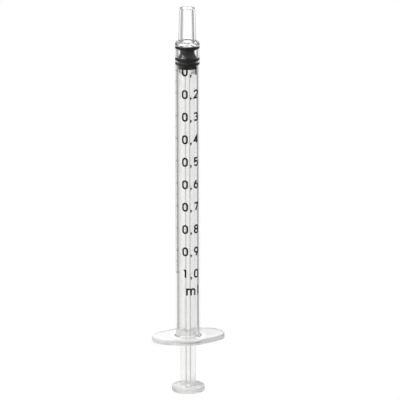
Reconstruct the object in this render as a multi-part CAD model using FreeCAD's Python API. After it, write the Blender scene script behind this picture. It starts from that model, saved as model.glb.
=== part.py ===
import FreeCAD, Part
import math
import os

# A 1 ml fine-dosage syringe with a luer slip nozzle, in millimetres.
# It stands on its thumb disc, nozzle up, with the plunger pushed fully in.
# The origin is the centre of the thumb disc's underside, and the finger flange is long in X.

# Barrel tube and its closed end; just above the flange the outside radius grows by barrel_growth
bore_d = 4.71
barrel_wall = 0.7
barrel_growth = 0.06
barrel_growth_length = 10.0
barrel_length = 76.3
end_wall = 0.9
end_cone = 0.12
shoulder_round = 0.65

# Luer slip nozzle, with the standard 6 % cone on the outside
nozzle_length = 8.4
nozzle_tip_d = 3.93
luer_taper = 0.06
nozzle_bore_tip_d = 2.5
nozzle_bore_base_d = 2.85
nozzle_tip_round = 0.18

# Open end: lead-in chamfer and the low bead that holds the stopper back
lead_in = 0.25
bead_height = 0.08
bead_length = 0.8
bead_from_end = 1.0

# Finger flange: a middle circle and two end circles, joined by straight flanks
flange_length = 18.5
flange_width = 12.2
flange_end_r = 4.3
flange_thickness = 1.2
flange_edge_round = 0.3
flange_root_round = 0.5

# Plunger rod
disc_d = 8.2
disc_thickness = 1.2
disc_edge_round = 0.15
rod_length = 81.62
rib_width = 3.8
rib_thickness = 0.88
rib_edge_round = 0.12
rib_root_round = 0.25
rod_turn_deg = -16.0
plate_d = 4.3
plate_thickness = 1.2

# Neck and barbed head, hidden inside the stopper
neck_d = 1.7
neck_length = 1.2
head_d = 2.7
head_length = 2.1
head_top_d = 1.2
head_clearance = 0.05

# Stopper, listed from its open end to its front
skirt_height = 0.9
rear_ring_height = 0.6
groove_height = 0.47
second_ring_height = 0.7
cone_height = 1.0
waist_height = 0.82
flare_height = 0.45
front_ring_height = 0.6
front_round_height = 0.23
front_cone = 0.2
waist_d = 3.56
ring_clearance = 0.02
skirt_clearance = 0.055
groove_depth = 0.22
front_setback = 0.3
ring_step = 0.12
front_edge_round = 0.15
waist_round = 0.5
seat_gap = 0.05

# How far a cut runs past a face, how near two places count as one, and a corner too flat to round
overrun = 0.5
same_place = 1e-4
nearly_straight = math.radians(89.9)

# Radii and heights that follow
bore_r = bore_d / 2
barrel_r = bore_r + barrel_wall
barrel_root_r = barrel_r + barrel_growth
ring_r = bore_r - ring_clearance
skirt_r = bore_r - skirt_clearance
stopper_length = (
    skirt_height + rear_ring_height + groove_height + second_ring_height + cone_height
    + waist_height + flare_height + front_ring_height + front_round_height
)
plate_top = disc_thickness + rod_length
stopper_front = plate_top + stopper_length
end_face = stopper_front + seat_gap
shoulder = end_face + end_wall
nozzle_tip = shoulder + nozzle_length
open_end = shoulder - barrel_length
flange_top = open_end + flange_thickness
bead_middle = open_end + bead_from_end
travel = plate_top - (bead_middle + bead_length / 2)


def rounded_wire(corners):
    """A closed wire in the plane y = 0 or z = 0 through corners given as (point, radius)."""
    starts, ends, arcs = [], [], []
    count = len(corners)
    for i in range(count):
        here, radius = corners[i]
        before = corners[i - 1][0] - here
        after = corners[(i + 1) % count][0] - here
        before.normalize()
        after.normalize()
        half = before.getAngle(after) / 2
        if radius <= 0 or half > nearly_straight:
            starts.append(here)
            ends.append(here)
            arcs.append(None)
            continue
        reach = radius / math.tan(half)
        inward = before + after
        inward.normalize()
        middle = here + inward * (radius / math.sin(half) - radius)
        starts.append(here + before * reach)
        ends.append(here + after * reach)
        arcs.append(middle)
    edges = []
    for i in range(count):
        if arcs[i] is not None:
            edges.append(Part.Arc(starts[i], arcs[i], ends[i]).toShape())
        next_start = starts[(i + 1) % count]
        if ends[i].distanceToPoint(next_start) > same_place:
            edges.append(Part.LineSegment(ends[i], next_start).toShape())
    return Part.Wire(edges)


def turned(profile):
    """A solid turned about Z from (radius, height, corner rounding) rows."""
    corners = [(FreeCAD.Vector(r, 0, z), rounding) for r, z, rounding in profile]
    face = Part.Face(rounded_wire(corners))
    return face.revolve(FreeCAD.Vector(0, 0, 0), FreeCAD.Vector(0, 0, 1), 360)


def circles_at(shape, radius, height):
    """The shape's circular edges of this radius about Z at this height."""
    found = []
    for edge in shape.Edges:
        round_edge = isinstance(edge.Curve, Part.Circle)
        if round_edge and abs(edge.Curve.Radius - radius) < same_place:
            if abs(edge.Curve.Center.z - height) < same_place:
                found.append(edge)
    return found


def edges_at(shape, height):
    """The shape's edges that lie in the plane at this height."""
    found = []
    for edge in shape.Edges:
        box = edge.BoundBox
        if abs(box.ZMin - height) < same_place and abs(box.ZMax - height) < same_place:
            found.append(edge)
    return found


def flange_plate():
    """The oval finger flange as a plate with a rounded upper edge, before the bore is cut."""
    middle_r = flange_width / 2
    end_x = flange_length / 2 - flange_end_r
    lean = math.asin((middle_r - flange_end_r) / end_x)

    def on_circle(x, radius, angle):
        return FreeCAD.Vector(x + radius * math.sin(angle), radius * math.cos(angle), open_end)

    edges = []
    for turn in (0, math.pi):
        flip = 1 if turn == 0 else -1
        mid_from = on_circle(0, middle_r, turn - lean)
        mid_top = on_circle(0, middle_r, turn)
        mid_to = on_circle(0, middle_r, turn + lean)
        end_from = on_circle(flip * end_x, flange_end_r, turn + lean)
        end_tip = on_circle(flip * end_x, flange_end_r, turn + math.pi / 2)
        end_to = on_circle(flip * end_x, flange_end_r, turn + math.pi - lean)
        next_from = on_circle(0, middle_r, turn + math.pi - lean)
        edges.append(Part.Arc(mid_from, mid_top, mid_to).toShape())
        edges.append(Part.LineSegment(mid_to, end_from).toShape())
        edges.append(Part.Arc(end_from, end_tip, end_to).toShape())
        edges.append(Part.LineSegment(end_to, next_from).toShape())
    plate = Part.Face(Part.Wire(edges)).extrude(FreeCAD.Vector(0, 0, flange_thickness))
    return plate.makeFillet(flange_edge_round, edges_at(plate, flange_top))


def barrel():
    """Nozzle, shoulder, tube and finger flange, moulded as one piece."""
    nozzle_tip_r = nozzle_tip_d / 2
    nozzle_base_r = nozzle_tip_r + luer_taper / 2 * nozzle_length
    outside = turned([
        (0, open_end, 0),
        (barrel_root_r, open_end, 0),
        (barrel_root_r, flange_top, 0),
        (barrel_r, flange_top + barrel_growth_length, 0),
        (barrel_r, shoulder, shoulder_round),
        (nozzle_base_r, shoulder, 0),
        (nozzle_tip_r, nozzle_tip, nozzle_tip_round),
        (0, nozzle_tip, 0),
    ])
    body = outside.fuse(flange_plate())
    body = body.makeFillet(flange_root_round, circles_at(body, barrel_root_r, flange_top))
    nozzle_bore_base_r = nozzle_bore_base_d / 2
    bore_slope = (nozzle_bore_base_d - nozzle_bore_tip_d) / 2 / nozzle_length
    inside = turned([
        (0, open_end - overrun, 0),
        (bore_r + lead_in + overrun, open_end - overrun, 0),
        (bore_r, open_end + lead_in, 0),
        (bore_r, bead_middle - bead_length / 2, 0),
        (bore_r - bead_height, bead_middle, bead_length),
        (bore_r, bead_middle + bead_length / 2, 0),
        (bore_r, end_face, 0),
        (nozzle_bore_base_r, end_face + end_cone, 0),
        (nozzle_bore_tip_d / 2 - bore_slope * overrun, nozzle_tip + overrun, 0),
        (0, nozzle_tip + overrun, 0),
    ])
    return body.cut(inside)


def rib_cross():
    """The rod's cross-shaped section, drawn in the plane of the disc's top."""
    far = rib_width / 2
    near = rib_thickness / 2
    corners = []
    for quarter in range(4):
        for x, y, rounding in (
            (far, -near, rib_edge_round),
            (far, near, rib_edge_round),
            (near, near, rib_root_round),
        ):
            turn = FreeCAD.Rotation(FreeCAD.Vector(0, 0, 1), 90 * quarter)
            point = turn.multVec(FreeCAD.Vector(x, y, 0))
            corners.append((point, rounding))
    wire = rounded_wire(corners)
    wire.translate(FreeCAD.Vector(0, 0, disc_thickness))
    return Part.Face(wire)


def plunger_rod():
    """Thumb disc, cross-ribbed rod, round plate, neck and barbed head, moulded as one piece."""
    rod_top = plate_top - plate_thickness
    disc_r = disc_d / 2
    disc = turned([
        (0, 0, 0),
        (disc_r, 0, disc_edge_round),
        (disc_r, disc_thickness, disc_edge_round),
        (0, disc_thickness, 0),
    ])
    ribs = rib_cross().extrude(FreeCAD.Vector(0, 0, rod_top - disc_thickness))
    plate_r = plate_d / 2
    neck_r = neck_d / 2
    head_r = head_d / 2
    neck_top = plate_top + neck_length
    head = turned([
        (0, rod_top, 0),
        (plate_r, rod_top, 0),
        (plate_r, plate_top, 0),
        (neck_r, plate_top, 0),
        (neck_r, neck_top, 0),
        (head_r, neck_top, 0),
        (head_top_d / 2, neck_top + head_length, 0),
        (0, neck_top + head_length, 0),
    ])
    rod = disc.fuse([ribs, head]).removeSplitter()
    rod.rotate(FreeCAD.Vector(0, 0, 0), FreeCAD.Vector(0, 0, 1), rod_turn_deg)
    return rod


def stopper():
    """The rubber stopper with three sealing rings, a waist and the socket for the rod's head."""
    waist_r = waist_d / 2
    groove_r = ring_r - groove_depth
    rear_ring = plate_top + skirt_height
    groove = rear_ring + rear_ring_height
    groove_middle = groove + groove_height / 2
    second_ring = groove + groove_height
    cone = second_ring + second_ring_height
    waist = cone + cone_height
    flare = waist + waist_height
    front_ring = flare + flare_height
    front_ring_top = front_ring + front_ring_height
    socket_neck_r = neck_d / 2 + head_clearance
    socket_floor = plate_top + neck_length - head_clearance
    socket_top = plate_top + neck_length + head_length + head_clearance
    rubber = turned([
        (0, plate_top, 0),
        (skirt_r, plate_top, 0),
        (skirt_r, rear_ring - ring_step, 0),
        (ring_r, rear_ring, 0),
        (ring_r, groove, 0),
        (groove_r, groove_middle, 0),
        (ring_r, second_ring, 0),
        (ring_r, cone, 0),
        (waist_r, waist, waist_round),
        (waist_r, flare, waist_round),
        (ring_r, front_ring, 0),
        (ring_r, front_ring_top, 0),
        (ring_r - front_setback, stopper_front, front_edge_round),
        (0, stopper_front + front_cone, 0),
    ])
    socket = turned([
        (0, plate_top - overrun, 0),
        (socket_neck_r, plate_top - overrun, 0),
        (socket_neck_r, socket_floor, 0),
        (head_d / 2 + head_clearance, socket_floor, 0),
        (head_top_d / 2 + head_clearance, socket_top, 0),
        (0, socket_top, 0),
    ])
    return rubber.cut(socket)


os.makedirs("parts", exist_ok=True)
for name, make in (("barrel", barrel), ("plunger_rod", plunger_rod), ("stopper", stopper)):
    solid = make()
    box = solid.BoundBox
    print(f"{name}: solids {len(solid.Solids)}, valid {solid.isValid()}, volume {solid.Volume:.2f} mm3,"
          f" z {box.ZMin:.3f} to {box.ZMax:.3f}, x {box.XLength:.3f}, y {box.YLength:.3f}")
    solid.exportStep(f"parts/{name}.step")
print(f"plunger travel {travel:.2f} mm, scale {1000 / (math.pi * bore_r ** 2):.2f} mm for 1 ml")
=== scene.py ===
import bpy
import math
from mathutils import Matrix, Vector


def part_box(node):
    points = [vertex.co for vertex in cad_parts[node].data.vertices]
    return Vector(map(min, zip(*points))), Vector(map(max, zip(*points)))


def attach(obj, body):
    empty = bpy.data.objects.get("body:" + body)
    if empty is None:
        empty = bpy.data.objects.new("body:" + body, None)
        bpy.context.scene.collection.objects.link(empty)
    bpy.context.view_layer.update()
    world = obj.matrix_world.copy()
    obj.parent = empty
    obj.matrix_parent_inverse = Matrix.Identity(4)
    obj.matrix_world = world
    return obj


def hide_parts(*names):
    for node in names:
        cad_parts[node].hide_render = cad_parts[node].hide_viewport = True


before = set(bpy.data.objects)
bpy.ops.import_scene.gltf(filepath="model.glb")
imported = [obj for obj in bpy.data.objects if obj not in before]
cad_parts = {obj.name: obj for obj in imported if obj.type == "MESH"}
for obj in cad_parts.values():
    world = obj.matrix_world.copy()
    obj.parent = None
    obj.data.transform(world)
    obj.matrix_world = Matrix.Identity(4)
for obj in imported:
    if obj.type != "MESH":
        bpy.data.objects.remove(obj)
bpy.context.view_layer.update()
mm = 0.001  # sizes below are in millimetres, Blender works in metres
tiny = 1e-6  # a length in mm below this counts as none

# heights of the three pieces at rest, in mm, read from the frame
barrelLow, barrelHigh = [corner.z / mm for corner in map(Vector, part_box("barrel"))]
rodLow = min(corner.z for corner in map(Vector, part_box("plunger_rod"))) / mm
stopperLow = min(corner.z for corner in map(Vector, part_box("stopper"))) / mm
print("frame loaded: barrel", round(barrelLow, 2), "to", round(barrelHigh, 2), "mm")


# helpers for colours and nodes

# sRGB hex to linear RGBA
def linearColour(hexColour):
    channels = []
    for at in (1, 3, 5):
        value = int(hexColour[at:at + 2], 16) / 255
        linear = value / 12.92 if value <= 0.04045 else ((value + 0.055) / 1.055) ** 2.4
        channels.append(linear)
    return (*channels, 1.0)


# adds one node, sets its properties and sockets, and links what comes in
def addNode(tree, kind, settings=None, inputs=None, links=None):
    node = tree.nodes.new(kind)
    for name, value in (settings or {}).items():
        setattr(node, name, value)
    for name, value in (inputs or {}).items():
        node.inputs[name].default_value = value
    for name, source in (links or {}).items():
        tree.links.new(source, node.inputs[name])
    return node


# helpers for shapes

# points of an open outline given as (radius, height, rounding) corners
def roundedRows(corners, stepDeg=12):
    rows = []
    for i, (r, z, rounding) in enumerate(corners):
        if rounding <= 0 or i in (0, len(corners) - 1):
            rows.append((r, z))
            continue
        here = Vector((r, z))
        before = (Vector(corners[i - 1][:2]) - here).normalized()
        after = (Vector(corners[i + 1][:2]) - here).normalized()
        half = before.angle(after) / 2
        reach = rounding / math.tan(half)
        centre = here + (before + after).normalized() * rounding / math.sin(half)
        start = here + before * reach - centre
        turn = start.angle_signed(here + after * reach - centre)
        steps = max(2, math.ceil(abs(math.degrees(turn)) / stepDeg))
        for k in range(steps + 1):
            spoke = Matrix.Rotation(-turn * k / steps, 2) @ start
            rows.append(tuple(centre + spoke))
    return rows


# rows with an extra ring close to each end of a wide band, so that its shading stays flat
def supported(rows, closedLoop, margin=0.04, wideBand=0.5):
    result = []
    for low, high in zip(rows, rows[1:] + (rows[:1] if closedLoop else [])):
        result.append(low)
        around = max(len(low), len(high))
        pairs = [(low[k % len(low)], high[k % len(high)]) for k in range(around)]
        width = max(math.dist(a, b) for a, b in pairs)
        if width < wideBand:
            continue
        for end, share in ((low, margin / width), (high, 1 - margin / width)):
            if len(end) > 1:
                result.append([tuple(p + (q - p) * share for p, q in zip(a, b))
                               for a, b in pairs])
    return result if closedLoop else result + rows[-1:]


# a closed mesh from rings of (x, y, z) points in mm; the ring at a pole is one point
def ringSolid(name, rows, closedLoop=False):
    verts, faces, starts = [], [], []
    rows = supported(rows, closedLoop)
    for ring in rows:
        starts.append(len(verts))
        verts += [(x * mm, y * mm, z * mm) for x, y, z in ring]
    count = len(rows)
    for i in range(count if closedLoop else count - 1):
        j = (i + 1) % count
        low, high = rows[i], rows[j]
        around = max(len(low), len(high))
        for k in range(around):
            nextK = (k + 1) % around
            quad = [starts[i] + k % len(low), starts[i] + nextK % len(low),
                    starts[j] + nextK % len(high), starts[j] + k % len(high)]
            faces.append([v for at, v in enumerate(quad) if v not in quad[:at]])
    mesh = bpy.data.meshes.new(name)
    mesh.from_pydata(verts, [], faces)
    return finishMesh(name, mesh)


# the mesh as an object at the origin, shaded smooth except at its true corners
def finishMesh(name, mesh, sharpDeg=35):
    mesh.validate()
    mesh.update()
    obj = bpy.data.objects.new(name, mesh)
    bpy.context.scene.collection.objects.link(obj)
    mesh.shade_smooth()
    mesh.set_sharp_from_angle(angle=math.radians(sharpDeg))
    return obj


def circleRing(radius, z, angles):
    if radius < tiny:
        return [(0, 0, z)]
    return [(radius * math.cos(a), radius * math.sin(a), z) for a in angles]


def evenAngles(count):
    return [2 * math.pi * k / count for k in range(count)]


# angles over a quarter turn in even steps, with or without the last one
def quarterSwings(steps, withEnd=True):
    return [math.pi / 2 * k / steps for k in range(steps + 1 if withEnd else steps)]


# (x, y) points turned about the axis
def turnedFlat(points, angle):
    c, s = math.cos(angle), math.sin(angle)
    return [(x * c - y * s, x * s + y * c) for x, y in points]


# barrel: nozzle, shoulder, tube and finger flange in one closed skin

barrelSizes = {
    "bore": 4.71, "wall": 0.7, "endWall": 0.9, "endCone": 0.12, "shoulderRound": 0.65,
    "nozzleLength": 8.4, "nozzleTip": 3.93, "luerTaper": 0.06, "nozzleBaseRound": 0.12,
    "nozzleBoreTip": 2.5, "nozzleBoreBase": 2.85, "tipRound": 0.18, "mouthRound": 0.108,
    "growth": 0.06, "growthLength": 10.0,
    "leadIn": 0.25, "beadHeight": 0.08, "beadLength": 0.8, "beadFromEnd": 1.0, "beadRound": 1.0,
    "flangeLength": 18.5, "flangeWidth": 12.2, "flangeEnd": 4.3, "flangeThickness": 1.2,
    "flangeEdge": 0.3, "flangeLowEdge": 0.09, "flangeRoot": 0.5, "fineRound": 0.06,
    # width of the flat beside a rounding, to the next ring
    "mouthFlat": 0.2, "openEndFlat": 0.3, "rootFlat": 0.2, "tipFlat": 0.1,
    "around": 288, "rimSteps": 7, "outsideStepDeg": 8,
}


# distance from the axis to the flange's outline, moved in by inset
def flangeReach(angle, inset, sizes):
    middle = sizes["flangeWidth"] / 2
    endRadius = sizes["flangeEnd"]
    endX = sizes["flangeLength"] / 2 - endRadius
    lean = math.asin((middle - endRadius) / endX)
    middle, endRadius = middle - inset, endRadius - inset
    along, across = abs(math.cos(angle)), abs(math.sin(angle))
    onEnd = math.atan2(endRadius * math.cos(lean), endX + endRadius * math.sin(lean))
    fromX = math.atan2(across, along)
    if fromX < onEnd:
        return endX * along + math.sqrt(endRadius ** 2 - (endX * across) ** 2)
    if fromX < math.pi / 2 - lean:
        return middle / (along * math.sin(lean) + across * math.cos(lean))
    return middle


def makeBarrel(sizes):
    boreR = sizes["bore"] / 2
    outerR = boreR + sizes["wall"]
    footR = outerR + sizes["growth"]
    tip, openEnd = barrelHigh, barrelLow
    shoulder = tip - sizes["nozzleLength"]
    endFace = shoulder - sizes["endWall"]
    flangeTop = openEnd + sizes["flangeThickness"]
    bead = openEnd + sizes["beadFromEnd"]
    mouthR = sizes["nozzleBoreTip"] / 2
    tipR = sizes["nozzleTip"] / 2
    baseR = tipR + sizes["luerTaper"] / 2 * sizes["nozzleLength"]
    fine, leadIn = sizes["fineRound"], sizes["leadIn"]
    angles = evenAngles(sizes["around"])
    # inside, from the nozzle's mouth down to the open end
    inside = roundedRows([
        (mouthR + sizes["mouthFlat"], tip, 0),
        (mouthR, tip, sizes["mouthRound"]),
        (sizes["nozzleBoreBase"] / 2, endFace + sizes["endCone"], fine),
        (boreR, endFace, fine),
        (boreR, bead + sizes["beadLength"] / 2, 0),
        (boreR - sizes["beadHeight"], bead, sizes["beadRound"]),
        (boreR, bead - sizes["beadLength"] / 2, 0),
        (boreR, openEnd + leadIn, fine),
        (boreR + leadIn, openEnd, fine),
        (boreR + leadIn + sizes["openEndFlat"], openEnd, 0),
    ])
    rows = [circleRing(r, z, angles) for r, z in inside]

    def flangeRing(inset, z):
        reaches = [(flangeReach(a, inset, sizes), a) for a in angles]
        return [(r * math.cos(a), r * math.sin(a), z) for r, a in reaches]

    # the flange's rim, from its underside to its top
    low, edge = sizes["flangeLowEdge"], sizes["flangeEdge"]
    swings = quarterSwings(sizes["rimSteps"])
    rows += [flangeRing(low * (1 - math.sin(a)), openEnd + low * (1 - math.cos(a)))
             for a in swings]
    rows += [flangeRing(edge * (1 - math.cos(a)), flangeTop - edge * (1 - math.sin(a)))
             for a in swings]
    # outside, from the flange up to the nozzle's tip
    outside = roundedRows([
        (footR + sizes["flangeRoot"] + sizes["rootFlat"], flangeTop, 0),
        (footR, flangeTop, sizes["flangeRoot"]),
        (outerR, flangeTop + sizes["growthLength"], 0),
        (outerR, shoulder, sizes["shoulderRound"]),
        (baseR, shoulder, sizes["nozzleBaseRound"]),
        (tipR, tip, sizes["tipRound"]),
        (tipR - sizes["tipRound"] - sizes["tipFlat"], tip, 0),
    ], stepDeg=sizes["outsideStepDeg"])
    rows += [circleRing(r, z, angles) for r, z in outside]
    return ringSolid("barrel_moulding", rows, closedLoop=True)


# plunger rod: thumb disc, cross ribs, plate, neck and head in one closed skin

rodSizes = {
    "disc": 8.2, "discThickness": 1.2, "discEdge": 0.15, "discFlat": 0.4,
    "ribWidth": 3.8, "ribThickness": 0.88, "ribEdge": 0.12, "ribRoot": 0.25, "ribFoot": 0.2,
    "plate": 4.3, "plateThickness": 1.2, "plateEdge": 0.12, "ribToPlate": 0.02,
    "neck": 1.7, "neckLength": 1.2, "head": 2.7, "headLength": 2.1, "headTop": 1.2,
    "turnDeg": -16.0,
    "edgeSteps": 6, "sideSteps": 12, "rootSteps": 8, "tipSteps": 8, "footSteps": 5,
    "discStepDeg": 10,
}


# points round the rod's cross section, counter-clockwise, moved out by grow
def crossOutline(sizes, grow=0.0):
    far = sizes["ribWidth"] / 2 + grow
    near = sizes["ribThickness"] / 2 + grow
    edge, root = sizes["ribEdge"] + grow, sizes["ribRoot"] - grow
    tips, sides = sizes["tipSteps"], sizes["sideSteps"]
    edgeSwings = quarterSwings(sizes["edgeSteps"], withEnd=False)
    rootSwings = quarterSwings(sizes["rootSteps"], withEnd=False)
    quarter = [(far, -(near - edge) + 2 * (near - edge) * k / tips) for k in range(tips)]
    quarter += [(far - edge + edge * math.cos(a), near - edge + edge * math.sin(a))
                for a in edgeSwings]
    quarter += [(far - edge + (near + root - far + edge) * k / sides, near)
                for k in range(sides)]
    quarter += [(near + root - root * math.sin(a), near + root - root * math.cos(a))
                for a in rootSwings]
    quarter += [(near, near + root + (far - edge - near - root) * k / sides)
                for k in range(sides)]
    quarter += [(near - edge + edge * math.cos(a), far - edge + edge * math.sin(a))
                for a in edgeSwings]
    return [point for rib in range(4) for point in turnedFlat(quarter, math.pi / 2 * rib)]


def makeRod(sizes):
    turn = math.radians(sizes["turnDeg"])
    outline = crossOutline(sizes)
    angles = [math.atan2(y, x) for x, y in outline]

    def flatRing(points, z):
        return [(x, y, z) for x, y in turnedFlat(points, turn)]

    def circle(radius, z):
        return flatRing([point[:2] for point in circleRing(radius, z, angles)], z)

    discR, plateR = sizes["disc"] / 2, sizes["plate"] / 2
    ribReach, neckR = sizes["ribWidth"] / 2, sizes["neck"] / 2
    discTop = rodLow + sizes["discThickness"]
    plateTop = stopperLow
    plateLow = plateTop - sizes["plateThickness"]
    neckTop = plateTop + sizes["neckLength"]
    headTop = neckTop + sizes["headLength"]
    foot = sizes["ribFoot"]
    disc = roundedRows([
        (0, rodLow, 0),
        (discR, rodLow, sizes["discEdge"]),
        (discR, discTop, sizes["discEdge"]),
        (ribReach + foot + sizes["discFlat"], discTop, 0),
    ], stepDeg=sizes["discStepDeg"])
    rows = [circle(r, z) for r, z in disc]
    for a in quarterSwings(sizes["footSteps"]):
        grown = crossOutline(sizes, grow=foot * (1 - math.sin(a)))
        rows.append(flatRing(grown, discTop + foot * (1 - math.cos(a))))
    rows.append(flatRing(outline, plateLow))
    top = roundedRows([
        (ribReach + sizes["ribToPlate"], plateLow, 0),
        (plateR, plateLow, sizes["plateEdge"]),
        (plateR, plateTop, sizes["plateEdge"]),
        (neckR, plateTop, 0),
        (neckR, neckTop, 0),
        (sizes["head"] / 2, neckTop, 0),
        (sizes["headTop"] / 2, headTop, 0),
        (0, headTop, 0),
    ])
    rows += [circle(r, z) for r, z in top]
    return ringSolid("plunger_moulding", rows)


# stopper: three sealing rings, a waist and the socket for the rod's head

stopperSizes = {
    "skirt": 0.9, "rearRing": 0.6, "groove": 0.47, "secondRing": 0.7, "cone": 1.0,
    "waist": 0.82, "flare": 0.45, "frontRing": 0.6, "frontRound": 0.23, "frontCone": 0.2,
    "frontSetback": 0.3, "waistD": 3.56, "grooveDepth": 0.22, "skirtGap": 0.055,
    "squeeze": 0.012,  # the rings press this far into the wall, so they look as wide as the bore
    "round": 0.1, "waistRound": 0.5, "grooveRound": 0.15, "frontEdgeRound": 0.2,
    "socketGap": 0.05, "around": 192,
}


def makeStopper(sizes, rod, bore):
    angles = evenAngles(sizes["around"])
    boreR = bore / 2
    ringR = boreR + sizes["squeeze"]
    skirtR = boreR - sizes["skirtGap"]
    waistR = sizes["waistD"] / 2
    rearRing = stopperLow + sizes["skirt"]
    groove = rearRing + sizes["rearRing"]
    secondRing = groove + sizes["groove"]
    cone = secondRing + sizes["secondRing"]
    waist = cone + sizes["cone"]
    flare = waist + sizes["waist"]
    frontRing = flare + sizes["flare"]
    frontTop = frontRing + sizes["frontRing"]
    front = frontTop + sizes["frontRound"]
    small, gap = sizes["round"], sizes["socketGap"]
    neckTop = stopperLow + rod["neckLength"]
    headTop = neckTop + rod["headLength"]
    corners = [
        (0, headTop + gap, 0),
        (rod["headTop"] / 2 + gap, headTop + gap, 0),
        (rod["head"] / 2 + gap, neckTop - gap, 0),
        (rod["neck"] / 2 + gap, neckTop - gap, 0),
        (rod["neck"] / 2 + gap, stopperLow, 0),
        (skirtR, stopperLow, small),
        (skirtR, rearRing - small, small),
        (ringR, rearRing, small),
        (ringR, groove, small),
        (ringR - sizes["grooveDepth"], groove + sizes["groove"] / 2, sizes["grooveRound"]),
        (ringR, secondRing, small),
        (ringR, cone, small),
        (waistR, waist, sizes["waistRound"]),
        (waistR, flare, sizes["waistRound"]),
        (ringR, frontRing, small),
        (ringR, frontTop, small),
        (ringR - sizes["frontSetback"], front, sizes["frontEdgeRound"]),
        (0, front + sizes["frontCone"], 0),
    ]
    rows = [circleRing(r, z, angles) for r, z in roundedRows(corners)]
    return ringSolid("stopper_moulding", rows)


barrel = makeBarrel(barrelSizes)
rod = makeRod(rodSizes)
stopper = makeStopper(stopperSizes, rodSizes, barrelSizes["bore"])
for piece in (barrel, rod, stopper):
    low = [min(v.co[i] for v in piece.data.vertices) / mm for i in range(3)]
    high = [max(v.co[i] for v in piece.data.vertices) / mm for i in range(3)]
    print(piece.name, len(piece.data.polygons), "faces", [round(v, 3) for v in low + high])


# printed scale: numbers drawn as strokes of ink and wrapped round the barrel

printSizes = {
    "zeroBelowTip": 9.70, "step": 5.739, "labels": 10,
    "letterHeight": 2.31, "letterWidth": 1.5, "stroke": 0.43,
    "leftX": -1.5, "rightX": 1.45, "centreDeg": -0.5,
    "commaHead": 0.42, "commaTail": ((0.06, 0.02), (-0.1, -0.3)), "commaTailWidth": 0.22,
    "unitDrop": 4.35, "unitX": -0.075, "unitWidth": 2.03, "unitHeight": 1.62,
    "unitEndX": 1.98, "unitEndRise": 0.15,
    "inkProud": 0.012, "inkSunk": 0.004, "piece": 0.12, "leastMitre": 0.45,
    "arcSteps": 14, "ringSteps": 28,
}


def arcPoints(cx, cz, rx, rz, fromDeg, toDeg, steps=printSizes["arcSteps"]):
    points = []
    for k in range(steps + 1):
        a = math.radians(fromDeg + (toDeg - fromDeg) * k / steps)
        points.append((cx + rx * math.cos(a), cz + rz * math.sin(a)))
    return points


def ringPoints(cz, rx, rz):
    return arcPoints(0, cz, rx, rz, 0, 360, printSizes["ringSteps"])


# centre lines of each figure, drawn in shares of a box w wide and h high that stands on z = 0
def figureStrokes(w, h):
    r = w / 2
    bowl = h * 0.31  # half the height of the round part of 5, 6 and 9
    top, low = h * 0.245, h * 0.265  # half the heights of the two rounds of 3 and 8
    oval = arcPoints(0, h - r, r, r, 0, 180) + arcPoints(0, r, r, r, 180, 360)
    sixBowl = ringPoints(bowl, r, bowl)
    sixSpine = arcPoints(r * 0.62, bowl, r * 1.62, h - bowl, 180, 100)
    return {
        "0": [oval + oval[:1]],
        "1": [[(-r * 0.75, h), (r * 0.1, h), (r * 0.1, 0)]],
        "2": [arcPoints(0, h - r, r, r, 170, -25) + [(-r, 0.02), (r, 0.02)]],
        "3": [arcPoints(-r * 0.1, h - top, r * 0.95, top, 150, -80) + [(-r * 0.2, h - 2 * top)],
              [(-r * 0.2, 2 * low)] + arcPoints(-r * 0.05, low, r, low, 85, -150)],
        "4": [[(r * 0.4, 0), (r * 0.4, h), (-r, h * 0.3), (r, h * 0.3)]],
        "5": [[(r * 0.85, h), (-r * 0.8, h), (-r * 0.85, h * 0.52)]
              + arcPoints(-r * 0.05, bowl, r, bowl, 125, -150)],
        "6": [sixBowl, sixSpine],
        "7": [[(-r, h), (r, h), (-r * 0.3, 0)]],
        "8": [ringPoints(h - top, r * 0.92, top), ringPoints(low, r, low)],
        "9": [[(-x, h - z) for x, z in line] for line in (sixBowl, sixSpine)],
    }


# the same line with points no further apart than longest
def fineSteps(points, longest):
    out = [points[0]]
    for a, b in zip(points, points[1:]):
        pieces = max(1, math.ceil(math.dist(a, b) / longest))
        for k in range(1, pieces + 1):
            out.append((a[0] + (b[0] - a[0]) * k / pieces, a[1] + (b[1] - a[1]) * k / pieces))
    return out


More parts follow.
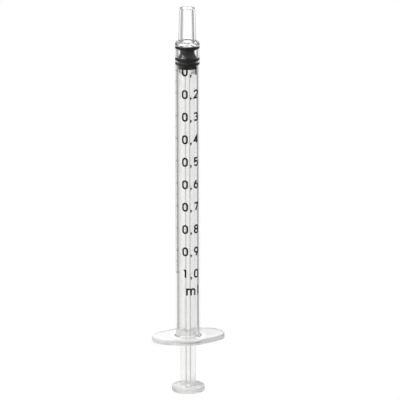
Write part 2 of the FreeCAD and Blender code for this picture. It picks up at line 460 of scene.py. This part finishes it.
# collects ribbons of ink and wraps them round the barrel as thin closed solids
class inkSheet:
    def __init__(self, radius, sizes):
        self.radius, self.sizes = radius, sizes
        self.verts, self.faces = [], []

    def place(self, x, z, depth):
        a = math.radians(self.sizes["centreDeg"]) + x / self.radius
        r = self.radius + depth
        return (r * math.sin(a) * mm, -r * math.cos(a) * mm, z * mm)

    # both edges of the ribbon, with a mitre at each bend
    def edges(self, line, closed, width, offsetX, offsetZ):
        count = len(line)
        pairs = []
        for i, (x, z) in enumerate(line):
            before = line[i - 1] if i > 0 or closed else line[i]
            after = line[(i + 1) % count] if i < count - 1 or closed else line[i]
            inWay = Vector((x - before[0], z - before[1]))
            outWay = Vector((after[0] - x, after[1] - z))
            inWay = (inWay if inWay.length > tiny else outWay).normalized()
            outWay = (outWay if outWay.length > tiny else inWay).normalized()
            across = inWay + outWay
            across = Vector((-across.y, across.x)).normalized()
            mitre = max(self.sizes["leastMitre"], across.dot(Vector((-inWay.y, inWay.x))))
            reach = width / 2 / mitre
            pairs.append([(x + side * across.x * reach + offsetX,
                           z + side * across.y * reach + offsetZ) for side in (1, -1)])
        return pairs

    def ribbon(self, line, width, offsetX, offsetZ):
        closed = math.dist(line[0], line[-1]) < tiny
        line = fineSteps(line, self.sizes["piece"])
        if closed:
            line = line[:-1]
        count, first = len(line), len(self.verts)
        for pair in self.edges(line, closed, width, offsetX, offsetZ):
            for depth in (-self.sizes["inkSunk"], self.sizes["inkProud"]):
                self.verts += [self.place(x, z, depth) for x, z in pair]
        for i in range(count if closed else count - 1):
            a, b = first + 4 * i, first + 4 * ((i + 1) % count)
            self.faces += [(a, a + 1, b + 1, b), (a + 2, b + 2, b + 3, a + 3),
                           (a, b, b + 2, a + 2), (a + 1, a + 3, b + 3, b + 1)]
        if not closed:
            a, b = first, first + 4 * (count - 1)
            self.faces += [(a, a + 2, a + 3, a + 1), (b, b + 1, b + 3, b + 2)]

    def finish(self, name):
        mesh = bpy.data.meshes.new(name)
        mesh.from_pydata(self.verts, [], self.faces)
        return finishMesh(name, mesh)


def printNumbers(sizes, outerR):
    sheet = inkSheet(outerR, sizes)
    stroke = sizes["stroke"]
    w, h = sizes["letterWidth"] - stroke, sizes["letterHeight"] - stroke
    figures = figureStrokes(w, h)
    zero = barrelHigh - sizes["zeroBelowTip"]
    for n in range(1, sizes["labels"] + 1):
        base = zero - n * sizes["step"] - h / 2
        whole, tenth = divmod(n, 10)
        for figure, x in ((str(whole), sizes["leftX"]), (str(tenth), sizes["rightX"])):
            for line in figures[figure]:
                sheet.ribbon(line, stroke, x, base)
        foot = base - stroke / 2
        head = sizes["commaHead"]
        sheet.ribbon([(0, head), (0, 0.0)], head, 0, foot)
        sheet.ribbon(sizes["commaTail"], sizes["commaTailWidth"], 0, foot)
    # the unit, ml, below the last number: two humps, the m's stem, and the l
    base = zero - sizes["labels"] * sizes["step"] - h / 2 - sizes["unitDrop"]
    low, unitX = -stroke / 2, sizes["unitX"]
    wide, high = sizes["unitWidth"], sizes["unitHeight"] - stroke / 2
    arch = wide / 4
    for side in (-1, 1):
        hump = arcPoints(side * arch, high - arch, arch, arch, 180, 0)
        line = [(side * arch - arch, low)] + hump + [(side * arch + arch, low)]
        sheet.ribbon(line, stroke, unitX, base)
    sheet.ribbon([(-wide / 2, low), (-wide / 2, high + stroke / 2)], stroke, unitX, base)
    endTop = h + stroke / 2 + sizes["unitEndRise"]
    sheet.ribbon([(0, low), (0, endTop)], stroke, sizes["unitEndX"], base)
    return sheet.finish("scale_numbers")


numbers = printNumbers(printSizes, barrelSizes["bore"] / 2 + barrelSizes["wall"])
print("numbers printed:", len(numbers.data.polygons), "faces")


# graduation marks, repeated down the barrel by Geometry Nodes

markSizes = {
    "hundredths": 101, "line": 0.12, "startDeg": -111.0,
    "longDeg": 45.0, "middleDeg": 30.0, "shortDeg": 22.0, "pointsAlong": 28,
}


# one mark: a thin closed strip bent round the barrel, over span from the start angle
def wrappedMark(tree, given, span, pointsAlong):
    size = addNode(tree, "ShaderNodeCombineXYZ", inputs={"X": 1.0},
                   links={"Y": given["Line"], "Z": given["Ink"]})
    strip = addNode(tree, "GeometryNodeMeshCube", links={"Size": size.outputs["Vector"]},
                    inputs={"Vertices X": pointsAlong, "Vertices Y": 2, "Vertices Z": 2})
    place = addNode(tree, "GeometryNodeInputPosition")
    parts = addNode(tree, "ShaderNodeSeparateXYZ",
                    links={"Vector": place.outputs["Position"]}).outputs
    # share runs from 0 to 1 along the strip
    share = addNode(tree, "ShaderNodeMath", {"operation": "ADD"}, {1: 0.5}, {0: parts["X"]})
    swing = addNode(tree, "ShaderNodeMath", {"operation": "MULTIPLY_ADD"},
                    links={0: share.outputs[0], 1: span, 2: given["Start"]})
    reach = addNode(tree, "ShaderNodeMath", {"operation": "ADD"},
                    links={0: given["Radius"], 1: parts["Z"]})
    sine = addNode(tree, "ShaderNodeMath", {"operation": "SINE"}, links={0: swing.outputs[0]})
    cosine = addNode(tree, "ShaderNodeMath", {"operation": "COSINE"},
                     links={0: swing.outputs[0]})
    x = addNode(tree, "ShaderNodeMath", {"operation": "MULTIPLY"},
                links={0: sine.outputs[0], 1: reach.outputs[0]})
    yBack = addNode(tree, "ShaderNodeMath", {"operation": "MULTIPLY"},
                    links={0: cosine.outputs[0], 1: reach.outputs[0]})
    y = addNode(tree, "ShaderNodeMath", {"operation": "MULTIPLY"}, {1: -1.0},
                {0: yBack.outputs[0]})
    bent = addNode(tree, "ShaderNodeCombineXYZ",
                   links={"X": x.outputs[0], "Y": y.outputs[0], "Z": parts["Y"]})
    moved = addNode(tree, "GeometryNodeSetPosition",
                    links={"Geometry": strip.outputs["Mesh"], "Position": bent.outputs["Vector"]})
    return moved.outputs["Geometry"]


# 1 at every nth mark from the top, 0 at the others
def everyNth(tree, index, nth):
    rest = addNode(tree, "ShaderNodeMath", {"operation": "MODULO"}, {1: float(nth)}, {0: index})
    chosen = addNode(tree, "ShaderNodeMath", {"operation": "LESS_THAN"}, {1: 0.5},
                     {0: rest.outputs[0]})
    return chosen.outputs[0]


def markTree(material, pointsAlong):
    tree = bpy.data.node_groups.new("graduation_marks", "GeometryNodeTree")
    tree.interface.new_socket("Geometry", in_out="OUTPUT", socket_type="NodeSocketGeometry")
    for name in ("Radius", "Start", "Long", "Middle", "Short", "Line", "Ink", "Top", "Spacing"):
        tree.interface.new_socket(name, in_out="INPUT", socket_type="NodeSocketFloat")
    tree.interface.new_socket("Count", in_out="INPUT", socket_type="NodeSocketInt")
    given = addNode(tree, "NodeGroupInput").outputs
    top = addNode(tree, "ShaderNodeCombineXYZ", links={"Z": given["Top"]})
    down = addNode(tree, "ShaderNodeMath", {"operation": "MULTIPLY"}, {1: -1.0},
                   {0: given["Spacing"]})
    offset = addNode(tree, "ShaderNodeCombineXYZ", links={"Z": down.outputs[0]})
    points = addNode(tree, "GeometryNodeMeshLine", links={
        "Count": given["Count"], "Start Location": top.outputs["Vector"],
        "Offset": offset.outputs["Vector"]})
    index = addNode(tree, "GeometryNodeInputIndex").outputs["Index"]
    # long marks at the tenths, middle ones halfway between, short ones elsewhere
    tenths, twentieths = everyNth(tree, index, 10), everyNth(tree, index, 5)
    middles = addNode(tree, "ShaderNodeMath", {"operation": "SUBTRACT"},
                      links={0: twentieths, 1: tenths}).outputs[0]
    others = addNode(tree, "ShaderNodeMath", {"operation": "SUBTRACT"}, {0: 1.0},
                     {1: twentieths}).outputs[0]
    joined = addNode(tree, "GeometryNodeJoinGeometry")
    for span, chosen in (("Long", tenths), ("Middle", middles), ("Short", others)):
        mark = wrappedMark(tree, given, given[span], pointsAlong)
        copies = addNode(tree, "GeometryNodeInstanceOnPoints", links={
            "Points": points.outputs["Mesh"], "Selection": chosen, "Instance": mark})
        tree.links.new(copies.outputs["Instances"], joined.inputs["Geometry"])
    real = addNode(tree, "GeometryNodeRealizeInstances",
                   links={"Geometry": joined.outputs["Geometry"]})
    inked = addNode(tree, "GeometryNodeSetMaterial", inputs={"Material": material},
                    links={"Geometry": real.outputs["Geometry"]})
    addNode(tree, "NodeGroupOutput", links={"Geometry": inked.outputs["Geometry"]})
    return tree


def printMarks(sizes, numbersAt, outerR, material):
    mesh = bpy.data.meshes.new("marks_seed")
    seed = bpy.data.objects.new("marks_seed", mesh)
    bpy.context.scene.collection.objects.link(seed)
    modifier = seed.modifiers.new("marks", "NODES")
    tree = markTree(material, sizes["pointsAlong"])
    modifier.node_group = tree
    sunk, proud = numbersAt["inkSunk"], numbersAt["inkProud"]
    values = {
        "Radius": (outerR + (proud - sunk) / 2) * mm, "Start": math.radians(sizes["startDeg"]),
        "Long": math.radians(sizes["longDeg"]), "Middle": math.radians(sizes["middleDeg"]),
        "Short": math.radians(sizes["shortDeg"]), "Line": sizes["line"] * mm,
        "Ink": (proud + sunk) * mm, "Top": (barrelHigh - numbersAt["zeroBelowTip"]) * mm,
        "Spacing": numbersAt["step"] / 10 * mm, "Count": sizes["hundredths"],
    }
    for item in tree.interface.items_tree:
        if item.in_out == "INPUT":
            modifier[item.identifier] = values[item.name]
    shown = seed.evaluated_get(bpy.context.evaluated_depsgraph_get())
    plain = bpy.data.meshes.new_from_object(shown)
    seed.modifiers.clear()
    bpy.data.objects.remove(seed)
    plain.name = "scale_marks"
    return finishMesh("scale_marks", plain)


# materials

white = linearColour("#FFFFFF")

# polypropylene moulded in steel: see-through, with faint flow marks and uneven polish, and a
# little milky where it is thick. Flow marks run along the piece, about 0.6 mm wide and, by
# the squash, 12 mm long
plasticSizes = {
    "ior": 1.49, "flowWidth": 0.6, "squash": 0.05, "detail": 2.0, "flowDepth": 0.01,
    "unevenPolish": 0.2,
}
# the barrel is polished; milk is the share of light scattered at the faces, and here only the
# thick part has it: below a height (milky up to, clear from) and further from the axis than a
# radius (clear up to, milky from), in mm
barrelLook = {
    "tint": "#FFFFFF", "roughness": 0.015, "flow": 0.12, "milk": 0.3,
    "milkBelow": (14.4, 15.0), "milkBeyond": (3.4, 5.0),
}
# the rod is satin, which blurs what is seen through its ribs
rodLook = {"tint": "#FAFAF8", "roughness": 0.22, "flow": 0.2, "milk": 0.15}


def newMaterial(name):
    material = bpy.data.materials.new(name)
    material.use_nodes = True
    return material, material.node_tree, material.node_tree.nodes["Principled BSDF"]


# the share of scattered light at each place of the barrel
def milkShare(tree, place, look):
    low, clear = look["milkBelow"]
    near, far = look["milkBeyond"]
    parts = addNode(tree, "ShaderNodeSeparateXYZ", links={"Vector": place}).outputs
    fade = addNode(tree, "ShaderNodeMapRange", links={"Value": parts["Z"]},
                   inputs={"From Min": low * mm, "From Max": clear * mm,
                           "To Min": look["milk"], "To Max": 0.0})
    flat = addNode(tree, "ShaderNodeCombineXYZ", links={"X": parts["X"], "Y": parts["Y"]})
    away = addNode(tree, "ShaderNodeVectorMath", {"operation": "LENGTH"},
                   links={0: flat.outputs["Vector"]})
    outside = addNode(tree, "ShaderNodeMapRange", links={"Value": away.outputs["Value"]},
                      inputs={"From Min": near * mm, "From Max": far * mm})
    share = addNode(tree, "ShaderNodeMath", {"operation": "MULTIPLY"},
                    links={0: fade.outputs["Result"], 1: outside.outputs["Result"]})
    return share.outputs[0]


def mouldedPolypropylene(name, look, sizes=plasticSizes):
    material, tree, shader = newMaterial(name)
    shader.inputs["Base Color"].default_value = linearColour(look["tint"])
    shader.inputs["Transmission Weight"].default_value = 1.0
    shader.inputs["IOR"].default_value = sizes["ior"]
    place = addNode(tree, "ShaderNodeTexCoord").outputs["Object"]
    stretch = addNode(tree, "ShaderNodeMapping", inputs={"Scale": (1.0, 1.0, sizes["squash"])},
                      links={"Vector": place})
    flow = addNode(tree, "ShaderNodeTexNoise", links={"Vector": stretch.outputs["Vector"]},
                   inputs={"Scale": 1 / (sizes["flowWidth"] * mm), "Detail": sizes["detail"]})
    uneven = look["roughness"] * sizes["unevenPolish"]
    polish = addNode(tree, "ShaderNodeMapRange", links={"Value": flow.outputs["Fac"]},
                     inputs={"To Min": look["roughness"] - uneven,
                             "To Max": look["roughness"] + uneven})
    tree.links.new(polish.outputs["Result"], shader.inputs["Roughness"])
    bump = addNode(tree, "ShaderNodeBump", links={"Height": flow.outputs["Fac"]},
                   inputs={"Strength": look["flow"], "Distance": sizes["flowDepth"] * mm})
    tree.links.new(bump.outputs["Normal"], shader.inputs["Normal"])
    # the scattered share, half thrown back and half let through
    back = addNode(tree, "ShaderNodeBsdfDiffuse", inputs={"Color": white})
    through = addNode(tree, "ShaderNodeBsdfTranslucent", inputs={"Color": white})
    haze = addNode(tree, "ShaderNodeMixShader", inputs={0: 0.5},
                   links={1: back.outputs["BSDF"], 2: through.outputs["BSDF"]})
    body = addNode(tree, "ShaderNodeMixShader", inputs={0: look["milk"]},
                   links={1: shader.outputs["BSDF"], 2: haze.outputs["Shader"]})
    tree.links.new(body.outputs["Shader"], tree.nodes["Material Output"].inputs["Surface"])
    if "milkBelow" in look:
        tree.links.new(milkShare(tree, place, look), body.inputs[0])
    return material


# bromobutyl rubber, moulded, under a thin silicone film: deep black, soft broad highlights
rubberLook = {
    "dark": "#030303", "light": "#0A0A0A", "grain": 0.12, "detail": 3.0, "ior": 1.5,
    "specular": 0.3, "smooth": 0.28, "rough": 0.42, "relief": 0.15, "reliefDepth": 0.01,
}


def mouldedRubber(name, look):
    material, tree, shader = newMaterial(name)
    shader.inputs["IOR"].default_value = look["ior"]
    shader.inputs["Specular IOR Level"].default_value = look["specular"]
    place = addNode(tree, "ShaderNodeTexCoord")
    grain = addNode(tree, "ShaderNodeTexNoise", links={"Vector": place.outputs["Object"]},
                    inputs={"Scale": 1 / (look["grain"] * mm), "Detail": look["detail"]})
    # sockets 6 and 7 of a Mix node are the colours that it mixes, and output 2 is the result
    tone = addNode(tree, "ShaderNodeMix", {"data_type": "RGBA"},
                   {6: linearColour(look["dark"]), 7: linearColour(look["light"])},
                   {"Factor": grain.outputs["Fac"]})
    tree.links.new(tone.outputs[2], shader.inputs["Base Color"])
    gloss = addNode(tree, "ShaderNodeMapRange", links={"Value": grain.outputs["Fac"]},
                    inputs={"To Min": look["smooth"], "To Max": look["rough"]})
    tree.links.new(gloss.outputs["Result"], shader.inputs["Roughness"])
    bump = addNode(tree, "ShaderNodeBump", links={"Height": grain.outputs["Fac"]},
                   inputs={"Strength": look["relief"], "Distance": look["reliefDepth"] * mm})
    tree.links.new(bump.outputs["Normal"], shader.inputs["Normal"])
    return material


# pad-printing ink, cured on the plastic: flat black with slightly uneven cover
inkLook = {
    "dark": "#020202", "light": "#0A0A0A", "grain": 0.15, "detail": 2.0,
    "specular": 0.3, "roughness": 0.5, "relief": 0.1, "reliefDepth": 0.005,
}


def printedInk(name, look):
    material, tree, shader = newMaterial(name)
    shader.inputs["Roughness"].default_value = look["roughness"]
    shader.inputs["Specular IOR Level"].default_value = look["specular"]
    place = addNode(tree, "ShaderNodeTexCoord")
    cover = addNode(tree, "ShaderNodeTexNoise", links={"Vector": place.outputs["Object"]},
                    inputs={"Scale": 1 / (look["grain"] * mm), "Detail": look["detail"]})
    tone = addNode(tree, "ShaderNodeValToRGB", links={"Fac": cover.outputs["Fac"]})
    tone.color_ramp.elements[0].color = linearColour(look["dark"])
    tone.color_ramp.elements[1].color = linearColour(look["light"])
    tree.links.new(tone.outputs["Color"], shader.inputs["Base Color"])
    bump = addNode(tree, "ShaderNodeBump", links={"Height": cover.outputs["Fac"]},
                   inputs={"Strength": look["relief"], "Distance": look["reliefDepth"] * mm})
    tree.links.new(bump.outputs["Normal"], shader.inputs["Normal"])
    return material


barrelPlastic = mouldedPolypropylene("clear_polypropylene_polished", barrelLook)
rodPlastic = mouldedPolypropylene("satin_polypropylene", rodLook)
rubber = mouldedRubber("black_bromobutyl_rubber", rubberLook)
ink = printedInk("black_pad_print_ink", inkLook)
marks = printMarks(markSizes, printSizes, barrelSizes["bore"] / 2 + barrelSizes["wall"], ink)
print("marks printed:", len(marks.data.polygons), "faces")

for piece, material in ((barrel, barrelPlastic), (rod, rodPlastic), (stopper, rubber), (numbers, ink)):
    piece.data.materials.clear()
    piece.data.materials.append(material)

# what each piece stands for and rides on
for piece, node, body, slotName in (
    (barrel, "barrel", "barrel", "barrel_plastic"),
    (rod, "plunger_rod", "plunger", "rod_plastic"),
    (stopper, "stopper", "plunger", "stopper_rubber"),
):
    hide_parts(node)
    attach(piece, body)
for piece in (numbers, marks):
    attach(piece, "barrel")
for name, material in (("barrel", barrelPlastic), ("plunger_rod", rodPlastic), ("stopper", rubber)):
    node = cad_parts[name]
    node.data.materials.clear()
    node.data.materials.append(material)
print("pieces dressed and riding")


# studio: a surround that is white to the camera, and that lights the plastic with levels
# that change with the angle, which draw its edges

studioSizes = {
    "azimuthDeg": -16.0, "elevationDeg": 15.5, "distance": 1350.0, "acrossView": 98.96,
    "lookRight": 3.02, "lookUp": 49.08, "rollDeg": -0.135,
    "sensor": 36.0, "clip": (0.05, 20),  # sensor in mm, clipping in m
    "floorReach": 4000.0, "floorDrop": 0.1, "bounces": 32,
    # brightness at degrees away from straight behind the object: below the horizon on its left
    # and on its right, and above the horizon
    "lowLeft": ((0, 1.3), (10, 1.3), (20, 0.72), (32, 0.57), (45, 0.44), (60, 0.4), (80, 0.4),
                (110, 0.57), (180, 0.25)),
    "lowRight": ((0, 1.3), (10, 1.15), (20, 1.02), (32, 0.55), (45, 0.33), (60, 0.35),
                 (80, 0.27), (110, 0.28), (180, 0.25)),
    "highLevels": ((0, 0.56), (10, 0.74), (20, 0.82), (32, 0.82), (45, 0.9), (60, 1.05),
                   (80, 1.26), (110, 0.85), (180, 0.75)),
    # least brightness below the horizon for light that comes straight through the plastic, so
    # that the object is as clear from its back and sides as from its front
    "throughLevels": ((0, 0.0), (62, 0.0), (76, 0.8), (90, 1.1), (110, 0.95), (130, 0.6),
                      (150, 0.95), (180, 1.15)),
    "blend": (0, 25), "brightest": 4.0,
    # the table near the foot lies in the object's soft shadow: share of light by distance in mm
    "shadow": ((0, 0.15), (4, 0.3), (7, 0.75), (10, 0.9), (20, 0.9), (50, 1.0)),
    "shadowAcross": 7.0, "shadowBehind": 5.0, "shadowReach": 100.0,
    "keyLeftDeg": 60.0, "keyUpDeg": 36.0, "keySize": 450.0, "keyDistance": 1000.0,
    "keyLevel": 16.0,
}


# the unit vector towards a place that is azimuth round the object and elevation above it
def wayTo(azimuthDeg, elevationDeg):
    a, e = math.radians(azimuthDeg), math.radians(elevationDeg)
    return Vector((math.sin(a) * math.cos(e), -math.cos(a) * math.cos(e), math.sin(e)))


# to the right as the camera sees it
def rightOf(sizes):
    a = math.radians(sizes["azimuthDeg"])
    return Vector((math.cos(a), math.sin(a), 0))


# a grey stop at each (place, level) of a ramp, as a share of the brightest; its last stop
# keeps the last level
def rampStops(elements, levels, furthest, brightest):
    nearlyAll = 0.9999
    for place, level in levels:
        stop = elements[0] if place == 0 else elements.new(min(place / furthest, nearlyAll))
        stop.color = (level / brightest, level / brightest, level / brightest, 1)
    elements[-1].color = stop.color


def makeWorld(sizes):
    world = bpy.data.worlds.new("studio_surround")
    bpy.context.scene.world = world
    world.use_nodes = True
    tree = world.node_tree
    tree.nodes.clear()
    way = addNode(tree, "ShaderNodeTexCoord")
    parts = addNode(tree, "ShaderNodeSeparateXYZ",
                    links={"Vector": way.outputs["Generated"]}).outputs
    # around is the angle from straight behind, above 0 on the right
    turn = addNode(tree, "ShaderNodeMath", {"operation": "ARCTAN2"},
                   links={0: parts["X"], 1: parts["Y"]})
    fromBack = addNode(tree, "ShaderNodeMath", {"operation": "ADD"},
                       {1: math.radians(sizes["azimuthDeg"])}, {0: turn.outputs[0]})
    around = addNode(tree, "ShaderNodeMath", {"operation": "WRAP"}, {1: math.pi, 2: -math.pi},
                     {0: fromBack.outputs[0]})
    away = addNode(tree, "ShaderNodeMath", {"operation": "ABSOLUTE"},
                   links={0: around.outputs[0]})
    share = addNode(tree, "ShaderNodeMath", {"operation": "DIVIDE"}, {1: math.pi},
                    {0: away.outputs[0]})
    levels = {}
    for name in ("lowLeft", "lowRight", "highLevels", "throughLevels"):
        ramp = addNode(tree, "ShaderNodeValToRGB", links={"Fac": share.outputs[0]})
        rampStops(ramp.color_ramp.elements, sizes[name], 180, sizes["brightest"])
        levels[name] = ramp.outputs["Color"]
    # sockets 2 and 3 of a Mix node are the two numbers that it mixes
    onRight = addNode(tree, "ShaderNodeMath", {"operation": "GREATER_THAN"}, {1: 0.0},
                      {0: around.outputs[0]})
    low = addNode(tree, "ShaderNodeMix", {"data_type": "FLOAT"}, links={
        "Factor": onRight.outputs[0], 2: levels["lowLeft"], 3: levels["lowRight"]})
    # straight through: passed at least one face and reflected at none
    path = addNode(tree, "ShaderNodeLightPath").outputs
    passed = addNode(tree, "ShaderNodeMath", {"operation": "GREATER_THAN"}, {1: 0.5},
                     {0: path["Transmission Depth"]})
    unreflected = addNode(tree, "ShaderNodeMath", {"operation": "LESS_THAN"}, {1: 0.5},
                          {0: path["Glossy Depth"]})
    straight = addNode(tree, "ShaderNodeMath", {"operation": "MULTIPLY"},
                       links={0: passed.outputs[0], 1: unreflected.outputs[0]})
    allowed = addNode(tree, "ShaderNodeMath", {"operation": "MULTIPLY"},
                      links={0: straight.outputs[0], 1: levels["throughLevels"]})
    lowest = addNode(tree, "ShaderNodeMath", {"operation": "MAXIMUM"},
                     links={0: low.outputs[0], 1: allowed.outputs[0]})
    # from the low levels to the high ones over the blend's degrees of elevation
    blendFrom, blendTo = [math.sin(math.radians(degrees)) for degrees in sizes["blend"]]
    above = addNode(tree, "ShaderNodeMapRange", {"interpolation_type": "SMOOTHSTEP"},
                    {"From Min": blendFrom, "From Max": blendTo}, {"Value": parts["Z"]})
    blend = addNode(tree, "ShaderNodeMix", {"data_type": "FLOAT"}, links={
        "Factor": above.outputs["Result"], 2: lowest.outputs[0], 3: levels["highLevels"]})
    level = addNode(tree, "ShaderNodeMath", {"operation": "MULTIPLY"}, {1: sizes["brightest"]},
                    {0: blend.outputs[0]})
    # the camera itself sees plain white
    other = addNode(tree, "ShaderNodeMath", {"operation": "SUBTRACT"}, {0: 1.0},
                    {1: path["Is Camera Ray"]})
    hidden = addNode(tree, "ShaderNodeMath", {"operation": "MULTIPLY"},
                     links={0: level.outputs[0], 1: other.outputs[0]})
    strength = addNode(tree, "ShaderNodeMath", {"operation": "ADD"},
                       links={0: hidden.outputs[0], 1: path["Is Camera Ray"]})
    light = addNode(tree, "ShaderNodeBackground", inputs={"Color": white},
                    links={"Strength": strength.outputs[0]})
    addNode(tree, "ShaderNodeOutputWorld", links={"Surface": light.outputs["Background"]})


# a large soft box to the left of the camera, above the object
def makeKeyLight(sizes):
    way = wayTo(sizes["azimuthDeg"] - sizes["keyLeftDeg"], sizes["keyUpDeg"])
    data = bpy.data.lights.new("soft_box", "AREA")
    data.shape = "SQUARE"
    data.size = sizes["keySize"] * mm
    # power for the wanted radiance: a flat lamp of area A and radiance L gives pi * A * L watts
    data.energy = math.pi * (sizes["keySize"] * mm) ** 2 * sizes["keyLevel"]
    lamp = bpy.data.objects.new("soft_box", data)
    bpy.context.scene.collection.objects.link(lamp)
    lamp.location = way * sizes["keyDistance"] * mm + Vector((0, 0, sizes["lookUp"] * mm))
    lamp.rotation_euler = way.to_track_quat("Z", "Y").to_euler()


# the table: it only shades other light, so to the camera the surround shows through it, and a
# plunger drawn out below it isn't hidden
def makeFloor(sizes):
    reach, z = sizes["floorReach"] * mm, -sizes["floorDrop"] * mm
    mesh = bpy.data.meshes.new("studio_floor")
    corners = [(-reach, -reach), (reach, -reach), (reach, reach), (-reach, reach)]
    mesh.from_pydata([(x, y, z) for x, y in corners], [], [(0, 1, 2, 3)])
    floor = bpy.data.objects.new("studio_floor", mesh)
    bpy.context.scene.collection.objects.link(floor)
    material = bpy.data.materials.new("pale_studio_floor")
    material.use_nodes = True
    tree = material.node_tree
    tree.nodes.clear()
    right = rightOf(sizes)
    behind = Vector((-right.y, right.x, 0))
    centre = (right * sizes["shadowAcross"] + behind * sizes["shadowBehind"]) * mm
    place = addNode(tree, "ShaderNodeTexCoord")
    offset = addNode(tree, "ShaderNodeVectorMath", {"operation": "DISTANCE"}, {1: centre},
                     {0: place.outputs["Object"]})
    near = addNode(tree, "ShaderNodeMapRange", inputs={"From Max": sizes["shadowReach"] * mm},
                   links={"Value": offset.outputs["Value"]})
    shade = addNode(tree, "ShaderNodeValToRGB", links={"Fac": near.outputs["Result"]})
    rampStops(shade.color_ramp.elements, sizes["shadow"], sizes["shadowReach"], 1.0)
    seen = addNode(tree, "ShaderNodeLightPath")
    tone = addNode(tree, "ShaderNodeMath", {"operation": "MAXIMUM"},
                   links={0: shade.outputs["Color"], 1: seen.outputs["Is Camera Ray"]})
    clear = addNode(tree, "ShaderNodeBsdfTransparent", links={"Color": tone.outputs[0]})
    addNode(tree, "ShaderNodeOutputMaterial", links={"Surface": clear.outputs["BSDF"]})
    mesh.materials.append(material)


def makeCamera(sizes):
    back = wayTo(sizes["azimuthDeg"], sizes["elevationDeg"])
    target = (rightOf(sizes) * sizes["lookRight"] + Vector((0, 0, sizes["lookUp"]))) * mm
    data = bpy.data.cameras.new("photo_camera")
    data.sensor_width = sizes["sensor"]
    data.lens = data.sensor_width * sizes["distance"] / sizes["acrossView"]
    data.clip_start, data.clip_end = sizes["clip"]
    camera = bpy.data.objects.new("photo_camera", data)
    bpy.context.scene.collection.objects.link(camera)
    camera.location = target + back * sizes["distance"] * mm
    roll = Matrix.Rotation(math.radians(sizes["rollDeg"]), 3, "Z")
    aim = (-back).to_track_quat("-Z", "Y").to_matrix() @ roll
    camera.rotation_euler = aim.to_euler()
    bpy.context.scene.camera = camera


makeWorld(studioSizes)
makeKeyLight(studioSizes)
makeFloor(studioSizes)
makeCamera(studioSizes)
scene = bpy.context.scene
scene.view_settings.view_transform = "Standard"
for name in ("max_bounces", "transmission_bounces", "glossy_bounces", "transparent_max_bounces"):
    setattr(scene.cycles, name, studioSizes["bounces"])
print("studio ready")
